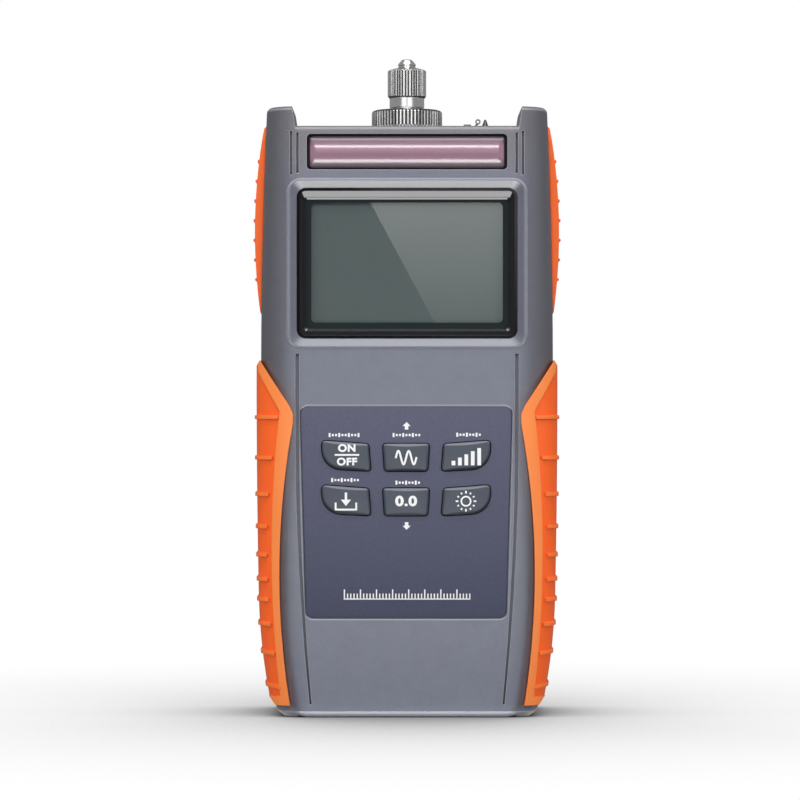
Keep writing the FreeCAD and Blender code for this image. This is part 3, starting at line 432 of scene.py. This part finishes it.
def dress():
    """Gives every node of the frame its material; the six keys are the ones not listed."""
    case = case_plastic()
    grip = grip_rubber()
    pad = pad_rubber()
    key = key_plastic()
    nickel = knurled_nickel()
    seal = plain("seal_rubber", (0.01, 0.01, 0.01), 0.7, grain=0.03 * MM, shine=0.15)
    board = circuit_board()
    chip = plain("chip_black", (0.03, 0.03, 0.032), 0.5, grain=0.02 * MM)
    steel = plain("zinc_steel", (0.55, 0.55, 0.56), 0.32, metallic=1.0)
    dark_steel = plain("dark_steel", (0.2, 0.2, 0.2), 0.35, metallic=1.0)
    contact = plain("contact_metal", (0.72, 0.7, 0.66), 0.25, metallic=1.0)
    sleeve = cell_sleeve()
    looks = {
        "front_shell": case, "rear_shell": case, "battery_door": case, "tilt_stand": case,
        "left_grip": grip, "right_grip": grip, "left_side_pad": pad, "right_side_pad": pad,
        "window_bezel": black_gloss(), "window_lens": clear_window(),
        "lcd_glass": plain("display_glass", (0.089, 0.111, 0.11), 0.5),
        "lcd_backlight": plain("light_guide", (0.8, 0.82, 0.8), 0.6),
        "lcd_zebra_strips": seal, "keypad_overlay": overlay_film(),
        "keypad_mat": plain("silicone", (0.4, 0.4, 0.42), 0.6, grain=0.03 * MM),
        "top_strip": tinted_bar(), "top_strip_gasket": seal, "case_seal": seal,
        "main_board": board, "detector_board": board, "detector_flex": board,
        "board_chips": chip, "key_switches": chip, "buzzer": chip,
        "board_screws": steel, "case_screws": steel, "stand_pin": steel,
        "anchor_screw": dark_steel, "tether_anchor": dark_steel,
        "detector_housing": nickel, "photodiode": nickel, "adapter_barrel": nickel,
        "adapter_ring": nickel, "dust_cap": nickel, "cap_rivet": nickel, "cap_tab": nickel,
        "usb_socket": contact, "battery_springs": contact, "battery_contacts": contact,
        "adapter_oring": seal, "cap_liner": seal,
        "battery_left": sleeve, "battery_middle": sleeve, "battery_right": sleeve,
    }
    for name, node in frame["nodes"].items():
        node.data.materials.clear()
        node.data.materials.append(looks.get(name, key))


def mesh_object(name, points, faces, material):
    mesh = bpy.data.meshes.new(name)
    mesh.from_pydata(points, [], faces)
    mesh.update()
    piece = bpy.data.objects.new(name, mesh)
    scene.collection.objects.link(piece)
    piece.data.materials.append(material)
    return piece


class Print:
    """Ink marks gathered into one mesh. They are drawn flat, in millimetres across and up
    from an origin, and laid on a face whose y is given by height(x, z)."""

    def __init__(self, name, body, slot, origin, height):
        self.name = name
        self.body = body
        self.slot = slot
        self.origin = origin
        self.height = height
        self.points = []
        self.faces = []

    def spot(self, across, up):
        """x and z, in metres, of a place in millimetres from the origin."""
        x, z = self.origin
        return x + across * MM, z + up * MM

    def lay(self, x, z):
        self.points.append((x, self.height(x, z), z))

    def polygon(self, outline):
        start = len(self.points)
        for across, up in outline:
            self.lay(*self.spot(across, up))
        self.faces.append(tuple(range(start, len(self.points))))

    def bar(self, across, up, wide, high, turn=0.0):
        """Rectangle about a middle, cut into short lengths so that it follows a dome."""
        if high > wide:
            wide, high, turn = high, wide, turn + math.pi / 2
        c, s = math.cos(turn), math.sin(turn)
        parts = max(1, math.ceil(wide))
        for i in range(parts):
            left, right = wide * (i / parts - 0.5), wide * ((i + 1) / parts - 0.5)
            corners = [(left, -high / 2), (right, -high / 2), (right, high / 2), (left, high / 2)]
            self.polygon([(across + a * c - b * s, up + a * s + b * c) for a, b in corners])

    def stroke(self, path, width):
        """Line of even width through points, whose straight lengths overlap at the bends."""
        overlap = width * 0.6
        for (x0, z0), (x1, z1) in zip(path, path[1:]):
            length = math.hypot(x1 - x0, z1 - z0) + overlap
            turn = math.atan2(z1 - z0, x1 - x0)
            self.bar((x0 + x1) / 2, (z0 + z1) / 2, length, width, turn)

    def ring(self, across, up, radius, width, steps=28):
        inner, outer = radius - width / 2, radius + width / 2
        for i in range(steps):
            a = 2 * math.pi * i / steps
            b = 2 * math.pi * (i + 1) / steps
            corners = ((inner, a), (outer, a), (outer, b), (inner, b))
            self.polygon([(across + r * math.cos(t), up + r * math.sin(t)) for r, t in corners])

    def words(self, text, across, up, size, wide=1.0):
        """Short generic lettering about a middle, stretched sideways by wide."""
        curve = bpy.data.curves.new("lettering", "FONT")
        curve.body = text
        curve.size = size * MM
        curve.offset = curve.size * 0.045
        curve.space_character = 1.1
        curve.align_x = "CENTER"
        curve.align_y = "CENTER"
        holder = bpy.data.objects.new("lettering", curve)
        scene.collection.objects.link(holder)
        bpy.context.view_layer.update()
        mesh = bpy.data.meshes.new_from_object(holder)
        start = len(self.points)
        x, z = self.spot(across, up)
        for vertex in mesh.vertices:
            self.lay(x + vertex.co.x * wide, z + vertex.co.y)
        self.faces += [tuple(start + k for k in face.vertices) for face in mesh.polygons]
        bpy.data.objects.remove(holder)
        bpy.data.meshes.remove(mesh)
        bpy.data.curves.remove(curve)

    def make(self, material):
        piece = mesh_object(self.name, self.points, self.faces, material)
        for face in piece.data.polygons:
            if face.normal.y > 0:
                face.flip()
        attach(piece, self.body)


def power_sign(marks):
    """ON over OFF, with a line between."""
    across, size, wide = 0.3, 3.1, 1.08
    marks.words("ON", across, 2.55, size, wide)
    marks.bar(across, 0.55, 7.6, 0.55)
    marks.words("OFF", across, -1.65, size, wide)


def wave_sign(marks):
    """Two periods of a sine wave."""
    length, height, middle, steps = 6.4, 2.1, -0.3, 24
    shares = [i / steps for i in range(steps + 1)]
    wave = [((share - 0.5) * length, middle + height * math.sin(4 * math.pi * share)) for share in shares]
    marks.stroke(wave, 0.62)


def bars_sign(marks):
    """Five upright bars, each higher than the last."""
    foot, first_x, pitch, first_high, growth = -2.7, -4.0, 2.0, 1.4, 1.0
    for i in range(5):
        high = first_high + growth * i
        marks.bar(first_x + pitch * i, foot + high / 2, 1.15, high)


def tray_sign(marks):
    """Arrow that points down into an open tray."""
    half, rim, foot = 3.2, -0.6, -2.6
    marks.stroke([(-half, rim), (-half, foot), (half, foot), (half, rim)], 0.6)
    marks.bar(0, 1.5, 0.75, 2.4)
    head_half, head_top, tip = 1.6, 0.5, -1.5
    marks.polygon([(-head_half, head_top), (0, tip), (head_half, head_top)])


def zero_sign(marks):
    marks.words("0.0", 0, -0.1, 4.2, 1.2)


def lamp_sign(marks):
    """Ring with twelve rays, each third one longer."""
    across, width = -0.1, 0.5
    marks.ring(across, 0, 1.45, width)
    for i in range(12):
        turn = math.pi * i / 6
        near, far = (2.45, 3.15) if i % 3 == 0 else (2.55, 3.0)
        reach, length = (near + far) / 2, far - near + 0.15
        marks.bar(across + reach * math.cos(turn), reach * math.sin(turn), length, width, turn)


def key_marks(ink):
    """Signs on the domes of the keys; columns count from the middle, rows from the top."""
    keys = (
        ("key_power", -1, 0, power_sign), ("key_wavelength", 0, 0, wave_sign),
        ("key_units", 1, 0, bars_sign), ("key_recall", -1, 1, tray_sign),
        ("key_reference", 0, 1, zero_sign), ("key_backlight", 1, 1, lamp_sign),
    )
    for name, column, row, sign in keys:
        middle = (KEYPAD_X + column * COLUMN_PITCH, TOP_ROW_Z - row * ROW_PITCH)

        def dome(x, z):
            square = (x - middle[0]) ** 2 + (z - middle[1]) ** 2
            drop = KEY_DOME_RADIUS - math.sqrt(KEY_DOME_RADIUS ** 2 - square)
            return KEY_FACE_Y + drop - KEY_INK_LIFT

        marks = Print(name + "_print", name + "_body", "key_plastic", middle, dome)
        sign(marks)
        marks.make(ink)


def film_marks(ink):
    """Arrows, rows of small ticks and a graduated scale on the keypad film."""
    marks = Print("film_print", "meter", "overlay", (KEYPAD_X, 0.0),
                  lambda x, z: FILM_FACE_Y - FILM_INK_LIFT)

    # two arrow heads on short stems, one up and one down
    arrow_x, head, stem = 0.15, 1.25, 1.1
    for z, way in ((90.7, 1), (59.7, -1)):
        marks.polygon([(arrow_x - head, z), (arrow_x + head, z), (arrow_x, z + way * head)])
        marks.bar(arrow_x, z - way * stem / 2, stem, stem)

    # a row of ticks above each of five keys: middle x, z and count
    rows = ((-19.3, 87.9, 10), (0.1, 87.9, 9), (19.4, 88.0, 8), (-19.0, 73.9, 9), (0.5, 73.1, 8))
    tick_width, long_tick, short_tick = 0.6, 1.25, 0.7
    for middle_x, z, count in rows:
        for i in range(count):
            high = short_tick if i % 3 else long_tick
            marks.bar(middle_x + i - (count - 1) / 2, z, tick_width, high)

    # scale with a tick each millimetre and a longer one at each fifth
    first_x, foot_z = -19.2, 36.9
    for i in range(40):
        high = 1.7 if i % 5 else 3.0
        marks.bar(first_x + i, foot_z + high / 2, 0.38, high)
    marks.bar(0.3, foot_z, 39.4, 0.35)
    marks.make(ink)


def rounded_loop(x0, x1, z0, z1, radius, steps=6):
    """Points round a rounded rectangle, in order, with steps to each corner."""
    loop = []
    corners = ((x1 - radius, z1 - radius), (x0 + radius, z1 - radius),
               (x0 + radius, z0 + radius), (x1 - radius, z0 + radius))
    for quarter, (cx, cz) in enumerate(corners):
        for i in range(steps + 1):
            turn = math.pi / 2 * (quarter + i / steps)
            loop.append((cx + radius * math.cos(turn), cz + radius * math.sin(turn)))
    return loop


def window_mask():
    """Matt black print on the front of the window, which frames the display."""
    view_half, view_low, view_high, view_round = 29.85 * MM, 122.9 * MM, 160.3 * MM, 1.4 * MM
    lens_round = 1.5 * MM
    ink_lift = 0.02 * MM
    low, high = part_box("window_lens")
    outer = rounded_loop(low.x, high.x, low.z, high.z, lens_round)
    inner = rounded_loop(-view_half, view_half, view_low, view_high, view_round)
    points = [(x, low.y - ink_lift, z) for x, z in outer + inner]
    n = len(outer)
    faces = [(i, (i + 1) % n, n + (i + 1) % n, n + i) for i in range(n)]
    mask_ink = plain("mask_ink", (0.014, 0.021, 0.023), 0.5, shine=0.05)
    mask = mesh_object("window_mask", points, faces, mask_ink)
    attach(mask, "meter")


def emitter(name, strength, gradient=None):
    """Light card material; gradient is (low z, high z, strength at low z)."""
    s = Shader(name)
    light = s.add("ShaderNodeEmission")
    s.plug(strength, light.inputs["Strength"])
    if gradient:
        low_z, high_z, low_strength = gradient
        z = s.split(s.position())[2]
        share = s.math("DIVIDE", s.math("SUBTRACT", z, low_z), high_z - low_z)
        span = s.product(share, strength - low_strength)
        s.plug(s.math("MAXIMUM", s.math("ADD", span, low_strength), 0.0), light.inputs["Strength"])
    return s.output(light.outputs[0])


def glossy_card(name, corners, strength, gradient=None):
    """Bright card that shows only in reflections."""
    card = mesh_object(name, corners, [(0, 1, 2, 3)], emitter(name, strength, gradient))
    card.visible_camera = False
    card.visible_diffuse = False
    card.visible_transmission = False
    card.visible_shadow = False


def window_card():
    """Card behind the camera whose slanted edge mirrors as a diagonal in the window, with a
    black card behind it that keeps the rest of the window dark."""
    behind_camera = 0.43
    grow = 2.37  # size on the card of what it covers on the window, for that place

    def corner(across, up, behind):
        """Point of a card; across and up are millimetres on the window, from the camera's axis."""
        y = FRONT_Y - CAMERA_DISTANCE - behind
        return (CAMERA_X + across * MM * grow, y, CAMERA_Z + up * MM * grow)

    sheen = ((-12.7, 68.0), (60.0, 68.0), (60.0, 14.0), (16.3, 14.0))
    corners = [corner(across, up, behind_camera) for across, up in sheen]
    high_z, low_z = corners[0][2], corners[2][2]
    glossy_card("window_card", corners, 1.36, (low_z, high_z, 0.02))
    shade = ((-46.0, 76.0), (46.0, 76.0), (46.0, 10.0), (-46.0, 10.0))
    glossy_card("window_shade", [corner(across, up, behind_camera + 2 * MM) for across, up in shade], 0.0)


def floor():
    """Pale floor: white to the camera, darker only where the object shades it."""
    s = Shader("floor_white")
    grey = 0.25
    diffuse = s.add("ShaderNodeBsdfDiffuse")
    s.plug_colour((grey, grey, grey), diffuse.inputs["Color"])
    shade_reach, open_level, contrast = 0.22, 0.975, 1.8
    sky = s.add("ShaderNodeAmbientOcclusion", samples=16)
    s.plug(shade_reach, sky.inputs["Distance"])
    clear = s.math("MINIMUM", s.math("DIVIDE", sky.outputs["AO"], open_level), 1.0)
    glow = s.add("ShaderNodeEmission")
    s.plug(s.math("POWER", clear, contrast), glow.inputs["Strength"])
    chooser = s.add("ShaderNodeMixShader")
    s.plug(s.add("ShaderNodeLightPath").outputs["Is Camera Ray"], chooser.inputs[0])
    s.plug(diffuse.outputs[0], chooser.inputs[1])
    s.plug(glow.outputs[0], chooser.inputs[2])
    half = 6.0
    corners = [(-half, -half, 0), (half, -half, 0), (half, half, 0), (-half, half, 0)]
    mesh_object("floor", corners, [(0, 1, 2, 3)], s.output(chooser.outputs[0]))


def world():
    """White to the camera, dimmer in reflections, and a faint even light on the object."""
    seen, mirrored, felt = 1.0, 0.3, 0.06
    backdrop = bpy.data.worlds.new("studio")
    backdrop.use_nodes = True
    nodes, links = backdrop.node_tree.nodes, backdrop.node_tree.links
    path = nodes.new("ShaderNodeLightPath")
    shown = nodes["Background"]
    shown.inputs["Color"].default_value = (1, 1, 1, 1)
    shown.inputs["Strength"].default_value = felt
    for ray, strength in (("Is Glossy Ray", mirrored), ("Is Camera Ray", seen)):
        other = nodes.new("ShaderNodeBackground")
        other.inputs["Color"].default_value = (1, 1, 1, 1)
        other.inputs["Strength"].default_value = strength
        chooser = nodes.new("ShaderNodeMixShader")
        links.new(path.outputs[ray], chooser.inputs[0])
        links.new(shown.outputs[0], chooser.inputs[1])
        links.new(other.outputs[0], chooser.inputs[2])
        shown = chooser
    links.new(shown.outputs[0], nodes["World Output"].inputs["Surface"])
    scene.world = backdrop


def area_light(name, place, aim_z, wide, high, power, mirrored=False):
    """Lamp that points at a height on the Z axis."""
    data = bpy.data.lights.new(name, "AREA")
    data.shape = "RECTANGLE"
    data.size = wide
    data.size_y = high
    data.energy = power
    lamp = bpy.data.objects.new(name, data)
    lamp.location = place
    aim = Vector((0, 0, aim_z)) - Vector(place)
    lamp.rotation_euler = aim.to_track_quat("-Z", "Y").to_euler()
    lamp.visible_glossy = mirrored
    scene.collection.objects.link(lamp)


def level_card(name, half, near_y, far_y, strength, x=0.0):
    """Card that lies just above the floor."""
    z = 0.1 * MM
    left, right = x - half, x + half
    corners = [(left, far_y, z), (right, far_y, z), (right, near_y, z), (left, near_y, z)]
    glossy_card(name, corners, strength)


def studio():
    """Soft lamps, and cards that only shiny surfaces see."""
    area_light("front_soft", (0.0, -1.19, 0.85), 0.15, 0.7, 0.25, 5.9, mirrored=True)
    area_light("high_soft", (0.0, -0.52, 1.1), 0.1, 0.4, 0.4, 6.5)
    for side in (-1, 1):
        area_light("side_soft", (side * 1.1, -0.55, 0.35), 0.1, 0.4, 0.6, 7.2)
    area_light("back_soft", (0.0, 1.1, 0.7), 0.1, 0.6, 0.5, 5)

    # strips on the floor: the far ones mirror low in the bar, the near ones in the foot's chamfer
    level_card("floor_card", 0.11, -0.185, -0.3, 9.5)
    level_card("near_card", 0.11, -0.05, -0.185, 0.6)
    level_card("foot_card", 0.034, -0.0212, -0.026, 8.5)
    level_card("under_card", 0.036, -0.0203, -0.0212, 3)
    for side in (-1, 1):
        level_card("corner_card", 0.006, 0.02, -0.024, 1.3, x=side * 0.0402)

    # one overhead for the bar and the window frame, and one upright at each side for the metal
    half, front_y, back_y, z = 0.5, -0.49, -0.14, 1.1
    overhead = [(-half, front_y, z), (half, front_y, z), (half, back_y, z), (-half, back_y, z)]
    glossy_card("top_card", overhead, 3.5)
    low_z, high_z = 0.28, 0.6
    for side in (-1, 1):
        near, far = (side * 0.09, -1.3), (side * 0.75, -1.1)
        upright = [(*near, low_z), (*far, low_z), (*far, high_z), (*near, high_z)]
        glossy_card("side_card", upright, 2.15)


def camera():
    data = bpy.data.cameras.new("camera")
    data.sensor_width = SENSOR_MM
    data.lens = SENSOR_MM * CAMERA_DISTANCE / FIELD_WIDTH
    data.clip_start = 0.05
    eye = bpy.data.objects.new("camera", data)
    eye.location = (CAMERA_X, FRONT_Y - CAMERA_DISTANCE, CAMERA_Z)
    eye.rotation_euler = (math.pi / 2, 0, 0)
    scene.collection.objects.link(eye)
    scene.camera = eye


dress()
ink = plain("white_ink", (0.9, 0.9, 0.9), 0.6)
key_marks(ink)
film_marks(ink)
window_mask()
window_card()
floor()
world()
studio()
camera()
scene.view_settings.view_transform = "Standard"
